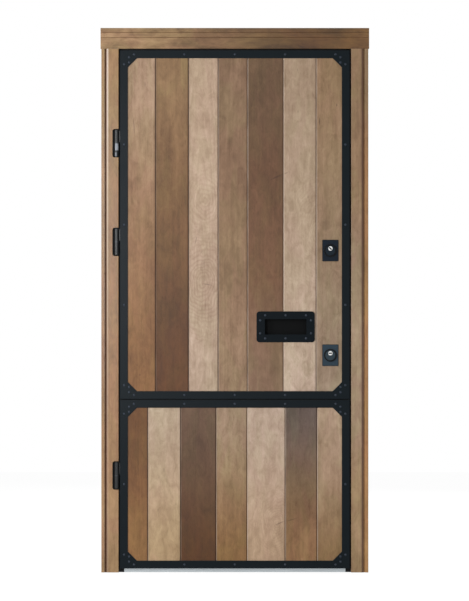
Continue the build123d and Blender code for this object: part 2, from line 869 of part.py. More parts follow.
def main():
    os.makedirs("parts", exist_ok=True)

    # The fixed frame
    save(build_jamb(-1, hinge_side_anchors), "frame_hinge_jamb")
    save(build_jamb(1, lock_side_anchors), "frame_lock_jamb")
    save(build_head(), "frame_head")
    save(build_threshold(), "threshold")
    save(build_side_casing(-1), "casing_left")
    save(build_side_casing(1), "casing_right")
    save(build_header(), "casing_header")
    stop_seal_x = reveal_x - seal_width
    stop_seal_z = (tray_bottom + 1, tray_top - 1)
    save(seal_ring(stop_seal_x, *stop_seal_z, rebate_depth, stop_seal_thickness), "frame_seal")
    for name, height in lock_heights.items():
        save(build_strike(height), f"{name}_strike_plate")

    # Hinges
    for name, height in hinge_heights.items():
        save(build_frame_half(height), f"{name}_hinge_frame_half")
        save(build_leaf_half(height), f"{name}_hinge_leaf_half")
    save(build_hinge_pins(), "hinge_pins")
    save(build_hinge_washers(), "hinge_washers")

    # The leaf
    save(build_skin(), "leaf_outer_skin")
    save(build_tray(), "leaf_inner_tray")
    save(build_stiffeners(), "leaf_stiffeners")
    save(build_insulation(), "leaf_insulation")
    save(build_inner_panel(), "leaf_inner_panel")
    lap_seal_z = (leaf_bottom + 3, leaf_top - 4)
    lap_seal = seal_ring(leaf_x - 4, *lap_seal_z, -seal_clearance, lap_gap - seal_clearance)
    save(lap_seal, "leaf_seal")
    field_planks("upper", upper_field, upper_plank_joints, upper_rivets + pull_rivets)
    field_planks("lower", lower_field, lower_plank_joints, lower_rivets)
    save(build_strap_frame(upper_field, upper_rivets), "upper_strap_frame")
    save(build_strap_frame(lower_field, lower_rivets), "lower_strap_frame")
    save(build_rivets(upper_rivets, strap_front), "upper_strap_rivets")
    save(build_rivets(lower_rivets, strap_front), "lower_strap_rivets")

    # Handles and locks
    save(build_pull_handle(), "pull_handle")
    save(build_rivets(pull_rivets, plank_front - handle_plate), "pull_handle_rivets")
    save(build_inner_bar(), "inner_pull_bar")
    save(build_inner_plates(), "inner_lock_plates")
    for name, height in lock_heights.items():
        save(build_escutcheon(height), f"{name}_lock_plate")
        save(build_guard(height), f"{name}_lock_guard")
        save(build_cylinder(height), f"{name}_lock_cylinder")
        save(build_lock_case(height), f"{name}_lock_case")
        save(build_plug(height, key_slot_turns[name]), f"{name}_lock_plug")
        save(build_thumbturn(height), f"{name}_thumbturn")
        save(build_bolts(height), f"{name}_lock_bolts")


main()
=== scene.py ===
import math
import bmesh
import bpy
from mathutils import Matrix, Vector


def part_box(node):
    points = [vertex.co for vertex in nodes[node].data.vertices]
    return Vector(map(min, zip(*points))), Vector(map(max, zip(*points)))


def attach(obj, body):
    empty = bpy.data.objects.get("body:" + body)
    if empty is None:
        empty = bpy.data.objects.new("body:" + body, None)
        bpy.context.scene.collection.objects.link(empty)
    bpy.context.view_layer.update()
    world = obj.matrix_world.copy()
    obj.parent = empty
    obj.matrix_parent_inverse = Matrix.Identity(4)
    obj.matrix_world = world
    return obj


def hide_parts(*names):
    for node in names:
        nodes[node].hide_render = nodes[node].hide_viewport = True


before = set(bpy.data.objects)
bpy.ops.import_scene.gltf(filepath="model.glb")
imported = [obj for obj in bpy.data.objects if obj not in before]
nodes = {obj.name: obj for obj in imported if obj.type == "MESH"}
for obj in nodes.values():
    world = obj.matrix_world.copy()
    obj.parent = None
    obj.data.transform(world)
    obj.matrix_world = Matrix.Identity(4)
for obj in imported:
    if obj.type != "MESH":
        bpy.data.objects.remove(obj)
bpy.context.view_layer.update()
scene = bpy.context.scene
print("frame loaded:", len(nodes), "nodes")


def screenColor(red, green, blue):
    # 0-255 screen values to the linear colour that a socket takes
    def channel(value):
        value /= 255
        return value / 12.92 if value <= 0.04045 else ((value + 0.055) / 1.055) ** 2.4
    return (channel(red), channel(green), channel(blue), 1)


def feed(tree, socket, value):
    # a socket is linked, a plain value is set, and None leaves the default
    if isinstance(value, bpy.types.NodeSocket):
        tree.links.new(value, socket)
    elif value is not None:
        socket.default_value = value


def addNode(tree, kind, inputs=None, **settings):
    node = tree.nodes.new(kind)
    for name, value in settings.items():
        setattr(node, name, value)
    for name, value in (inputs or {}).items():
        feed(tree, node.inputs[name], value)
    return node


def calc(tree, operation, a, b=None, clamp=False):
    node = addNode(tree, "ShaderNodeMath", {0: a, 1: b}, operation=operation, use_clamp=clamp)
    return node.outputs[0]


def product(tree, first, *others):
    for value in others:
        first = calc(tree, "MULTIPLY", first, value)
    return first


def total(tree, first, *others):
    for value in others:
        first = calc(tree, "ADD", first, value)
    return first


def less(tree, a, b):
    return calc(tree, "SUBTRACT", a, b)


def fromMiddle(tree, value, middle):
    return calc(tree, "ABSOLUTE", less(tree, value, middle))


def vectorCalc(tree, operation, a, b):
    return addNode(tree, "ShaderNodeVectorMath", {0: a, 1: b}, operation=operation).outputs[0]


def split(tree, vector):
    return addNode(tree, "ShaderNodeSeparateXYZ", {0: vector}).outputs


def objectPoint(tree):
    return addNode(tree, "ShaderNodeTexCoord").outputs["Object"]


def distanceFrom(tree, point, x, z, squash=(1, 0, 1)):
    # how far it is from (x, z) in the face, with each axis squashed
    offset = vectorCalc(tree, "SUBTRACT", point, (x, 0, z))
    offset = vectorCalc(tree, "MULTIPLY", offset, squash)
    return addNode(tree, "ShaderNodeVectorMath", {0: offset}, operation="LENGTH").outputs["Value"]


def turnInFace(tree, point, place, angle):
    # the point as seen from a place in the face, turned about Y
    offset = vectorCalc(tree, "SUBTRACT", point, place)
    return addNode(tree, "ShaderNodeVectorRotate", {"Vector": offset, "Angle": angle},
                   rotation_type="Y_AXIS").outputs[0]


def ramp(tree, value, low, high, toLow=0.0, toHigh=1.0):
    # a soft step from toLow to toHigh
    node = addNode(tree, "ShaderNodeMapRange", {0: value, 1: low, 2: high, 3: toLow, 4: toHigh},
                   interpolation_type="SMOOTHSTEP")
    return node.outputs[0]


def softBand(tree, value, low, high, soft):
    # 1 between low and high, with a soft edge inside each
    return product(tree, ramp(tree, value, low, low + soft),
                   ramp(tree, value, high - soft, high, 1.0, 0.0))


def noise(tree, point, stretch, detail=2.0, roughness=0.5, distortion=0.0):
    # stretch is one scale, or a scale for each axis
    scale = stretch
    if isinstance(stretch, tuple):
        point, scale = vectorCalc(tree, "MULTIPLY", point, stretch), 1.0
    return addNode(tree, "ShaderNodeTexNoise", {
        "Vector": point, "Scale": scale, "Detail": detail, "Roughness": roughness,
        "Distortion": distortion}).outputs[0]


def mixColor(tree, factor, a, b, mode="MIX"):
    # a Mix node's colours are its sockets 6 and 7, and 2 on the way out
    node = addNode(tree, "ShaderNodeMix", data_type="RGBA", blend_type=mode)
    feed(tree, node.inputs[0], factor)
    feed(tree, node.inputs[6], a)
    feed(tree, node.inputs[7], b)
    return node.outputs[2]


def newGroup(name, inputs, outputs):
    # a shader node group with named sockets: (name, kind) in, (name, kind) out
    tree = bpy.data.node_groups.new(name, "ShaderNodeTree")
    for side, sockets in (("INPUT", inputs), ("OUTPUT", outputs)):
        for label, kind in sockets:
            tree.interface.new_socket(label, in_out=side, socket_type="NodeSocket" + kind)
    return tree, addNode(tree, "NodeGroupInput").outputs, addNode(tree, "NodeGroupOutput").inputs


def useGroup(tree, name, inputs):
    node = addNode(tree, "ShaderNodeGroup", node_tree=bpy.data.node_groups[name])
    for label, value in inputs.items():
        feed(tree, node.inputs[label], value)
    return node.outputs


def newMaterial(name):
    material = bpy.data.materials.new(name)
    material.use_nodes = True
    tree = material.node_tree
    tree.nodes.clear()
    shader = addNode(tree, "ShaderNodeBsdfPrincipled")
    output = addNode(tree, "ShaderNodeOutputMaterial")
    tree.links.new(shader.outputs[0], output.inputs[0])
    return material, tree, shader


def addBump(tree, shader, height, strength, depth):
    bump = addNode(tree, "ShaderNodeBump", {"Height": height, "Strength": strength,
                                            "Distance": depth})
    tree.links.new(bump.outputs[0], shader.inputs["Normal"])


def setShader(shader, values):
    for label, value in values.items():
        shader.inputs[label].default_value = value


woodFigure = {
    "seedShift": (3.71, 1.37, 5.13),   # how far a board's seed moves its noise along each axis
    "patchShift": (4.1, 2.3, 7.7),
    "bend": 0.05,                      # how far slow noise bends the rings, in metres
    "shiver": 0.004,                   # and how far quick noise does
    "ringRise": (0.1, 0.86),           # within a ring the wood darkens slowly,
    "ringFall": (0.9, 1.0),            # and is pale again at once
    "poreLimits": (0.61, 0.7),
}
# stretch across, inward and along the board, then detail, roughness and distortion
figureNoise = {
    "bend": ((9, 9, 1.6), 3, 0.55),
    "shiver": ((55, 55, 9), 2, 0.5),
    "pores": ((1250, 1250, 70), 1, 0.5),
    "Streaks": ((70, 70, 3.2), 4, 0.6, 0.4),
    "Clouds": ((14, 14, 4.4), 3, 0.55, 0.7),
    "Mottle": ((34, 34, 19), 4, 0.62, 1.0),
    "Patches": ((15, 15, 5.5), 3, 0.55, 0.8),
    "Fibres": ((620, 620, 11), 3, 0.65),
    "Ripple": ((10, 10, 45), 2, 0.5, 0.6),
}


def buildWoodFigure():
    # the long axis is along Z, in metres: growth rings cut lengthwise, streaks, clouds and pores
    shown = ("Streaks", "Clouds", "Mottle", "Patches", "Fibres", "Ripple")
    tree, given, made = newGroup(
        "woodFigure",
        [("Point", "Vector"), ("Seed", "Float"), ("Heart", "Float"), ("Depth", "Float"),
         ("Tilt", "Float"), ("Ring Width", "Float")],
        [("Rings", "Float"), ("Pores", "Float")] + [(label, "Float") for label in shown])
    shifts = [product(tree, given["Seed"], reach) for reach in woodFigure["seedShift"]]
    shift = addNode(tree, "ShaderNodeCombineXYZ", dict(enumerate(shifts))).outputs[0]
    point = vectorCalc(tree, "ADD", given["Point"], shift)
    patchPoint = vectorCalc(tree, "ADD", point, woodFigure["patchShift"])
    found = {label: noise(tree, patchPoint if label == "Patches" else point, *values)
             for label, values in figureNoise.items()}
    # the radius is taken from a pith that leans away along the board
    across, inward, along = split(tree, given["Point"])
    sideways = less(tree, across, given["Heart"])
    deep = total(tree, given["Depth"], product(tree, along, given["Tilt"]), inward)
    radius = calc(tree, "SQRT", total(tree, product(tree, sideways, sideways),
                                      product(tree, deep, deep)))
    for label in ("bend", "shiver"):
        sway = less(tree, found[label], 0.5)
        radius = total(tree, radius, product(tree, sway, woodFigure[label]))
    turn = calc(tree, "FRACT", calc(tree, "DIVIDE", radius, given["Ring Width"]))
    feed(tree, made["Rings"], product(tree, ramp(tree, turn, *woodFigure["ringRise"]),
                                      ramp(tree, turn, *woodFigure["ringFall"], 1.0, 0.0)))
    feed(tree, made["Pores"], ramp(tree, found["pores"], *woodFigure["poreLimits"]))
    for label in shown:
        feed(tree, made[label], found[label])


grainMark = {"raggedNoise": (160, 160, 60), "raggedDepth": 0.9, "edge": (0.35, 1.15)}


def buildGrainMark():
    # one dark fleck, knot or mineral streak: a soft long spot, turned by an angle in the face
    tree, given, made = newGroup(
        "grainMark", [("Point", "Vector"), ("Centre", "Vector"), ("Width", "Float"),
                      ("Length", "Float"), ("Angle", "Float")], [("Mark", "Float")])
    ragged = less(tree, noise(tree, given["Point"], grainMark["raggedNoise"], 2, 0.6), 0.5)
    spot = split(tree, turnInFace(tree, given["Point"], given["Centre"], given["Angle"]))
    across = calc(tree, "DIVIDE", spot[0], given["Width"])
    along = calc(tree, "DIVIDE", spot[2], given["Length"])
    reach = calc(tree, "SQRT", total(tree, product(tree, across, across),
                                     product(tree, along, along)))
    reach = total(tree, reach, product(tree, ragged, grainMark["raggedDepth"]))
    feed(tree, made["Mark"], ramp(tree, reach, *grainMark["edge"], 1.0, 0.0))


stainedWood = {
    "rosy": (1.035, 0.965, 0.98, 1),      # the two tints that a board's patches wander between
    "olive": (0.985, 1.02, 0.92, 1),
    "tintLimits": (0.36, 0.62),
    "warmMiddle": (0.8, 0.66, 0.54, 1),   # what a warm middle multiplies the stain by
    "noiseGain": 6.0,
    "ringMiddle": 0.45,
    "fibres": 0.3,
    "pores": 0.22,
    "darkest": 0.1,
    "powers": (1.16, 1.36),               # green and blue fall off more, so dark wood is warmer
    "rough": 0.44,
    "roughFibres": 0.16,
    "roughPores": 0.2,
    "raisedFibres": 0.5,
    "sunkRings": 0.25,
}
# the group's sockets, and the board's values that they take
boardSockets = {"Seed": "seed", "Tint": "tint", "Warm Middle": "warm", "Heart": "heart",
                "Depth": "depth", "Tilt": "tilt", "Ring Width": "ring", "Ring Depth": "ringDepth",
                "Cloud Depth": "cloud", "Mottle Depth": "mottle", "Streak Depth": "streak",
                "Ripple Depth": "ripple"}


def buildStainedWood():
    # stain, figure and grain together: the tone runs from Low to High up the board
    heights = ("Low Height", "High Height")
    tree, given, made = newGroup(
        "stainedWood",
        [("Point", "Vector"), ("Low", "Color"), ("High", "Color")]
        + [(label, "Float") for label in (*heights, *boardSockets)],
        [("Color", "Color"), ("Roughness", "Float"), ("Height", "Float")])
    shared = ("Point", "Seed", "Heart", "Depth", "Tilt", "Ring Width")
    figure = useGroup(tree, "woodFigure", {label: given[label] for label in shared})
    climb = ramp(tree, split(tree, given["Point"])[2], *(given[label] for label in heights))
    tone = mixColor(tree, climb, given["Low"], given["High"])
    belly = product(tree, climb, less(tree, 1.0, climb), 4.0, given["Warm Middle"])
    warmed = mixColor(tree, 1.0, tone, stainedWood["warmMiddle"], "MULTIPLY")
    tone = mixColor(tree, belly, tone, warmed)
    patches = ramp(tree, figure["Patches"], *stainedWood["tintLimits"])
    tint = mixColor(tree, patches, stainedWood["olive"], stainedWood["rosy"])
    tinted = mixColor(tree, 1.0, tone, tint, "MULTIPLY")
    tone = mixColor(tree, given["Tint"], tone, tinted)
    # light and dark in one factor round 1
    shade = 1.0
    for label, depth in (("Clouds", "Cloud Depth"), ("Mottle", "Mottle Depth"),
                         ("Streaks", "Streak Depth")):
        part = less(tree, figure[label], 0.5)
        shade = total(tree, product(tree, part, stainedWood["noiseGain"], given[depth]), shade)
    rings = less(tree, stainedWood["ringMiddle"], figure["Rings"])
    ripple = less(tree, figure["Ripple"], 0.5)
    fibres = less(tree, figure["Fibres"], 0.5)
    shade = total(tree, shade, product(tree, rings, given["Ring Depth"]),
                  product(tree, ripple, given["Ripple Depth"]),
                  product(tree, fibres, stainedWood["fibres"]))
    shade = less(tree, shade, product(tree, figure["Pores"], stainedWood["pores"]))
    shade = calc(tree, "MAXIMUM", shade, stainedWood["darkest"])
    green, blue = (calc(tree, "POWER", shade, power) for power in stainedWood["powers"])
    depthColor = addNode(tree, "ShaderNodeCombineColor", {0: shade, 1: green, 2: blue}).outputs[0]
    feed(tree, made["Color"], mixColor(tree, 1.0, tone, depthColor, "MULTIPLY"))
    feed(tree, made["Roughness"], total(
        tree, stainedWood["rough"], product(tree, figure["Fibres"], stainedWood["roughFibres"]),
        product(tree, figure["Pores"], stainedWood["roughPores"])))
    height = product(tree, figure["Fibres"], stainedWood["raisedFibres"])
    height = less(tree, height, figure["Pores"])
    sunk = product(tree, figure["Rings"], stainedWood["sunkRings"])
    feed(tree, made["Height"], less(tree, height, sunk))


edgeWear = {"samples": 6, "patchNoise": 90.0, "patchLimits": (0.38, 0.6)}


def buildEdgeWear():
    # 1 along outer edges, broken up by noise
    tree, given, made = newGroup(
        "edgeWear", [("Point", "Vector"), ("Radius", "Float"), ("Low", "Float"), ("High", "Float"),
                     ("Breakup", "Float")], [("Edge", "Float")])
    soft = addNode(tree, "ShaderNodeBevel", {"Radius": given["Radius"]},
                   samples=edgeWear["samples"]).outputs[0]
    sharp = addNode(tree, "ShaderNodeNewGeometry").outputs["Normal"]
    alike = addNode(tree, "ShaderNodeVectorMath", {0: soft, 1: sharp},
                    operation="DOT_PRODUCT").outputs["Value"]
    edge = ramp(tree, less(tree, 1.0, alike), given["Low"], given["High"])
    patch = ramp(tree, noise(tree, given["Point"], edgeWear["patchNoise"], 4, 0.65),
                 *edgeWear["patchLimits"])
    keep = total(tree, product(tree, patch, given["Breakup"]), less(tree, 1.0, given["Breakup"]))
    feed(tree, made["Edge"], calc(tree, "MULTIPLY", edge, keep, clamp=True))


coatTexture = {"peelNoise": 900.0, "mottleNoise": 14.0, "dustNoise": 260.0,
               "dustLimits": (0.35, 0.75), "facesUp": (0.4, 0.95)}


def buildCoatTexture():
    # sprayed coating: fine orange peel, faint mottling and a little settled dust on upward faces
    tree, given, made = newGroup("coatTexture", [("Point", "Vector"), ("Grain", "Float")],
                                 [("Peel", "Float"), ("Mottle", "Float"), ("Dust", "Float")])
    scaled = addNode(tree, "ShaderNodeVectorMath", {0: given["Point"], "Scale": given["Grain"]},
                     operation="SCALE").outputs[0]
    feed(tree, made["Peel"], noise(tree, scaled, coatTexture["peelNoise"], 2, 0.5))
    feed(tree, made["Mottle"], noise(tree, given["Point"], coatTexture["mottleNoise"], 4, 0.6))
    up = split(tree, addNode(tree, "ShaderNodeNewGeometry").outputs["Normal"])[2]
    grains = ramp(tree, noise(tree, given["Point"], coatTexture["dustNoise"], 4, 0.7),
                  *coatTexture["dustLimits"])
    feed(tree, made["Dust"], product(tree, ramp(tree, up, *coatTexture["facesUp"]), grains))


brushedGrain = {"across": 1500, "along": 14, "smears": 22.0}


def buildBrushedGrain():
    # hairlines along X, or along Z when Upright is 1
    tree, given, made = newGroup("brushedGrain", [("Point", "Vector"), ("Upright", "Float")],
                                 [("Lines", "Float"), ("Smears", "Float")])
    fine, coarse = brushedGrain["across"], brushedGrain["along"]
    lines = addNode(tree, "ShaderNodeMix", data_type="FLOAT")
    feed(tree, lines.inputs[0], given["Upright"])
    for index, stretch in ((2, (coarse, fine, fine)), (3, (fine, fine, coarse))):
        feed(tree, lines.inputs[index], noise(tree, given["Point"], stretch, 3, 0.7))
    feed(tree, made["Lines"], lines.outputs[0])
    feed(tree, made["Smears"], noise(tree, given["Point"], brushedGrain["smears"], 3, 0.6))


buildWoodFigure()
buildGrainMark()
buildStainedWood()
buildEdgeWear()
buildCoatTexture()
buildBrushedGrain()
print("node groups built")


plankWood = {
    "stain": (60, 34, 22),           # the stain has gathered along the joints,
    "stainReach": (0.0042, 0.012),   # in a sharp line and a soft one
    "stainDepth": (0.9, 0.18),
    "pale": (222, 202, 184),         # and left edges, which face the light, get a painted highlight
    "edgeHighlightReach": (0.0018, 0.0034),
    "patchNoise": (40, 40, 7),
    "patchLimits": (0.3, 0.6, 0.45, 1.0),
    "mark": (52, 32, 20),
    "eye": (120, 76, 56),
    "eyeSquash": (1.15, 0, 0.8),
    "eyeNoise": (17, 17, 11),
    "eyeBend": 0.06,
    "eyeWave": (-0.4, 1.0),
    "eyeCore": 0.1,
    "bump": 0.25,
    "bumpDepth": 0.0003,
    "shader": {"Specular IOR Level": 0.35},
}

# what most planks share
usualPlank = {"tilt": 0.02, "ring": 0.012, "ringDepth": 0.032, "cloud": 0.15, "mottle": 0.13,
              "streak": 0.07, "ripple": 0.03, "warm": 0.0, "eyes": [], "marks": []}

# low and high are the screen colours at a plank's foot and head, tint is how uneven they are, warm
# is for its middle and pale for the painted highlight on its left edge, and heart, depth and tilt
# say where its pith lies.
# An eye is (x, z, spacing, reach, strength) in metres. A mark is (x, z, half width, half length,
# angle, strength) in millimetres and degrees.
planks = {
    "upper_plank_1": {
        "low": (127, 90, 53), "high": (159, 133, 108), "seed": 1, "tint": 0.65, "warm": 0.5,
        "pale": 0, "heart": -0.47, "depth": 0.03, "ring": 0.011, "ringDepth": 0.04,
        "cloud": 0.17, "streak": 0.08, "ripple": 0.0,
        "marks": [(-389, 1722, 2.2, 38, 2, 0.5), (-346.5, 1882, 2, 11, 0, 0.5),
                  (-377.4, 800, 2, 5, 0, 0.6), (-350.4, 796, 2, 5, 0, 0.5),
                  (-365.8, 762, 3, 4, 0, 0.5)]},
    "upper_plank_2": {
        "low": (82, 49, 20), "high": (133, 106, 73), "seed": 2, "tint": 0.8, "warm": 0.65,
        "pale": 0.15, "heart": -0.30, "depth": 0.05, "tilt": 0.012,
        "cloud": 0.16, "streak": 0.08, "ripple": 0.0,
        "marks": [(-216, 1365, 9, 60, 3, 0.16), (-262, 1100, 6, 120, -1, 0.12)]},
    "upper_plank_3": {
        "low": (173, 150, 129), "high": (175, 150, 127), "seed": 3, "tint": 0.4,
        "pale": 0.1, "heart": -0.1306, "depth": 0.115, "tilt": -0.085, "ring": 0.0105,
        "ringDepth": 0.075, "cloud": 0.09, "streak": 0.03, "ripple": 0.10,
        "eyes": [(-0.124, 1.11, 0.013, 0.26, 0.2), (-0.112, 1.43, 0.014, 0.15, 0.13)],
        "marks": [(-150, 1282, 2.4, 17, -14, 0.34), (-105.5, 1110.8, 2.4, 24, 80, 0.36),
                  (-121, 1191, 9, 20, 0, 0.13), (-139, 1316, 7, 12, 30, 0.1),
                  (-128, 1236, 3, 12, -40, 0.16)]},
    "upper_plank_4": {
        "low": (147, 121, 95), "high": (124, 98, 74), "seed": 4, "tint": 0.75, "warm": 0.35,
        "pale": 0.4, "heart": 0.06, "depth": 0.04, "tilt": 0.015, "ringDepth": 0.028,
        "cloud": 0.18, "streak": 0.09, "ripple": 0.04},
    "upper_plank_5": {
        "low": (127, 101, 79), "high": (97, 73, 51), "seed": 5, "tint": 0.9, "warm": 1.25,
        "pale": 0.6, "heart": 0.22, "depth": 0.06, "ring": 0.010, "ringDepth": 0.04,
        "cloud": 0.13, "streak": 0.06, "ripple": 0.05,
        "marks": [(163, 1526, 4, 34, -66, 0.45), (174, 1448, 5, 9, 0, 0.25)]},
    "upper_plank_6": {
        "low": (188, 166, 146), "high": (162, 139, 115), "seed": 6, "tint": 0.4, "warm": 0.15,
        "pale": 0.75, "heart": 0.33, "depth": 0.05, "tilt": 0.012, "ringDepth": 0.028,
        "cloud": 0.11, "streak": 0.04, "ripple": 0.05,
        "eyes": [(0.331, 1.33, 0.0105, 0.3, 0.1)],
        "marks": [(242.4, 1938, 1.6, 7, 0, 0.5), (243.6, 1778, 1.8, 6, 0, 0.5),
                  (282, 1448, 2, 5, 0, 0.4), (197, 1540, 3, 10, -66, 0.3)]},
    "upper_plank_7": {
        "low": (149, 129, 107), "high": (143, 115, 86), "seed": 7, "tint": 0.6, "warm": 0.2,
        "pale": 0.6, "heart": 0.37, "depth": 0.10, "tilt": 0.03, "ring": 0.011,
        "ringDepth": 0.036, "ripple": 0.04,
        "marks": [(326.5, 1739, 2.6, 15, 0, 0.55), (392.8, 1803, 3, 6, 0, 0.5),
                  (347.7, 1340, 14, 28, 8, 0.14)]},
    "lower_plank_1": {
        "low": (132, 94, 56), "high": (93, 60, 27), "seed": 11, "tint": 0.9,
        "pale": 0, "heart": -0.44, "depth": 0.05, "ripple": 0.0,
        "marks": [(-373.5, 411, 1.8, 55, 1, 0.3)]},
    "lower_plank_2": {
        "low": (175, 146, 112), "high": (174, 153, 131), "seed": 12, "tint": 0.4,
        "pale": 0.3, "heart": -0.27, "depth": 0.09, "tilt": 0.05, "ring": 0.011,
        "cloud": 0.11, "streak": 0.04,
        "marks": [(-273, 395, 1.5, 9, 0, 0.5), (-292.6, 368, 1.5, 7, 0, 0.45),
                  (-296.4, 241, 1.6, 7, 0, 0.45), (-227, 264, 1.6, 6, 0, 0.45)]},
    "lower_plank_3": {
        "low": (80, 47, 14), "high": (96, 73, 55), "seed": 13, "tint": 0.8,
        "pale": 0.2, "heart": -0.12, "depth": 0.05, "ringDepth": 0.036},
    "lower_plank_4": {
        "low": (137, 103, 62), "high": (149, 126, 102), "seed": 14, "tint": 0.75,
        "pale": 0.4, "heart": 0.0, "depth": 0.08, "tilt": 0.05, "ring": 0.011,
        "cloud": 0.17, "streak": 0.08},
    "lower_plank_5": {
        "low": (180, 150, 124), "high": (182, 160, 141), "seed": 15, "tint": 0.4,
        "pale": 0.6, "heart": 0.15, "depth": 0.09, "tilt": 0.05, "ringDepth": 0.028,
        "cloud": 0.1, "streak": 0.03,
        "eyes": [(0.166, 0.19, 0.0085, 0.17, 0.14)], "marks": [(172, 190, 2.6, 22, -66, 0.4)]},
    "lower_plank_6": {
        "low": (143, 108, 73), "high": (87, 74, 66), "seed": 16, "tint": 0.9,
        "pale": 0.5, "heart": 0.29, "depth": 0.06, "tilt": 0.03,
        "eyes": [(0.216, 0.2, 0.0085, 0.13, 0.14)], "marks": [(220, 204, 2.6, 24, -74, 0.4)]},
    "lower_plank_7": {
        "low": (136, 107, 71), "high": (173, 147, 124), "seed": 17, "tint": 0.6,
        "pale": 0.6, "heart": 0.40, "depth": 0.06, "cloud": 0.14, "streak": 0.06},
}


def stainBoard(tree, point, board, lowHeight, highHeight):
    values = {label: board[key] for label, key in boardSockets.items()}
    return useGroup(tree, "stainedWood", {
        "Point": point, "Low": screenColor(*board["low"]), "High": screenColor(*board["high"]),
        "Low Height": lowHeight, "High Height": highHeight, **values})


def plankMaterial(name, board):
    material, tree, shader = newMaterial(name + "_wood")
    point = objectPoint(tree)
    lowest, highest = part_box(name)
    wood = stainBoard(tree, point, board, lowest.z, highest.z)
    color = wood["Color"]
    for x, z, width, length, angle, strength in board["marks"]:
        mark = useGroup(tree, "grainMark", {
            "Point": point, "Centre": (x / 1000, lowest.y, z / 1000), "Width": width / 1000,
            "Length": length / 1000, "Angle": math.radians(angle)})["Mark"]
        color = mixColor(tree, product(tree, mark, strength), color,
                         screenColor(*plankWood["mark"]))
    for x, z, spacing, reach, strength in board["eyes"]:  # ovals of curled grain
        away = distanceFrom(tree, point, x, z, plankWood["eyeSquash"])
        bend = less(tree, noise(tree, point, plankWood["eyeNoise"], 2, 0.5), 0.5)
        bent = total(tree, away, product(tree, bend, plankWood["eyeBend"]))
        wave = calc(tree, "SINE", product(tree, bent, math.tau / spacing))
        wave = ramp(tree, wave, *plankWood["eyeWave"])
        fade = ramp(tree, away, reach * plankWood["eyeCore"], reach, strength, 0.0)
        color = mixColor(tree, product(tree, wave, fade), color, screenColor(*plankWood["eye"]))
    across = split(tree, point)[0]
    fromLeft = less(tree, across, lowest.x)
    fromRight = less(tree, highest.x, across)
    stain = screenColor(*plankWood["stain"])
    for reach, depth in zip(plankWood["stainReach"], plankWood["stainDepth"]):
        color = mixColor(tree, ramp(tree, fromRight, 0.0, reach, depth, 0.0), color, stain)
        color = mixColor(tree, ramp(tree, fromLeft, 0.0, reach, depth * (1 - board["pale"]), 0.0),
                         color, stain)
    # painted highlight: the left edge, which faces the light, is painted pale in patches
    patchy = ramp(tree, noise(tree, point, plankWood["patchNoise"], 3, 0.6),
                  *plankWood["patchLimits"])
    paintedHighlight = ramp(tree, fromLeft, *plankWood["edgeHighlightReach"], board["pale"], 0.0)
    color = mixColor(tree, product(tree, paintedHighlight, patchy), color, screenColor(*plankWood["pale"]))
    feed(tree, shader.inputs["Base Color"], color)
    feed(tree, shader.inputs["Roughness"], wood["Roughness"])
    addBump(tree, shader, wood["Height"], plankWood["bump"], plankWood["bumpDepth"])
    setShader(shader, plankWood["shader"])
    return material


casingWood = {
    "worn": (214, 190, 160),     # along its edges
    "edge": {"Radius": 0.0022, "Low": 0.03, "High": 0.3, "Breakup": 0.35},
    # painted shade in the recesses ends over this depth
    "recessShadeEdge": 0.0008,
    # painted highlight on the moulding's crest, and how it fades from head to foot
    "crestHighlight": (214, 198, 184),
    "crestHighlightFade": (0.3, 1.9, 0.1, 0.62),
    "smoother": 0.1,
    "bump": 0.12,
    "bumpDepth": 0.0002,
    "shader": {"Specular IOR Level": 0.3, "Coat Weight": 0.3, "Coat Roughness": 0.2},
}

# what most casings share
usualCasing = {"from": 0.0, "to": 2.02, "tint": 0.9, "depth": 0.06, "tilt": 0.02, "ring": 0.011,
               "ringDepth": 0.03, "cloud": 0.14, "mottle": 0.13, "ripple": 0.0, "warm": 0.0,
               "edge": 0.35, "washes": []}

# The stain runs from low to high between from and to, along the board. The moulding and grooves,
# which lie deeper than the face, get painted shade; the crest of the moulding gets a painted
# highlight, fading downwards. A wash is (left, right, soft edge, foot, head, soft edge, what the
# colour is multiplied by).
casings = {
    "casing_left": {
        "low": (153, 120, 87), "high": (143, 112, 75), "seed": 21, "heart": -0.6, "streak": 0.06,
        "warm": 0.8, "crestHighlight": (-0.4970, -0.4930, -0.4848),
        "recessShade": {"face": -0.018, "from": 0.0007, "to": 0.0032, "end": 0.0082, "depth": 0.85,
                   "color": (84, 50, 30)},
        "washes": [(-0.55, -0.40, 0.01, 0.60, 1.80, 0.3, (0.93, 0.89, 0.79))]},
    "casing_right": {
        "low": (158, 129, 96), "high": (137, 110, 80), "seed": 23, "heart": 0.6, "streak": 0.07,
        "recessShade": {"face": -0.018, "from": 0.0002, "to": 0.0012, "end": 0.0035, "depth": 0.8,
                   "color": (84, 48, 32)},
        "washes": [(0.42, 0.501, 0.004, 0.30, 1.50, 0.35, (1.08, 1.17, 1.42)),
                   (0.499, 0.53, 0.003, -0.40, 1.90, 0.4, (1.18, 0.97, 0.72))]},
    "casing_header": {
        "low": (145, 115, 81), "high": (87, 59, 28), "seed": 25, "heart": 2.4, "streak": 0.08,
        "from": -0.52, "to": 0.3, "tint": 1.4, "cloud": 0.34, "mottle": 0.2, "edge": 0.3,
        "recessShade": {"face": -0.020, "from": 0.0008, "to": 0.0024, "end": 0.0085, "depth": 0.35,
                   "color": (96, 60, 34)},
        "washes": [(0.39, 0.62, 0.06, 1.5, 2.6, 0.1, (1.4, 1.45, 1.45))]},
}
innerBoard = {"low": (150, 120, 92), "high": (158, 128, 100), "seed": 31, "heart": 0.1,
              "from": 0.0, "to": 2.0, "tint": 0.8, "ringDepth": 0.05, "cloud": 0.12,
              "mottle": 0.08, "streak": 0.08, "edge": 0.2}


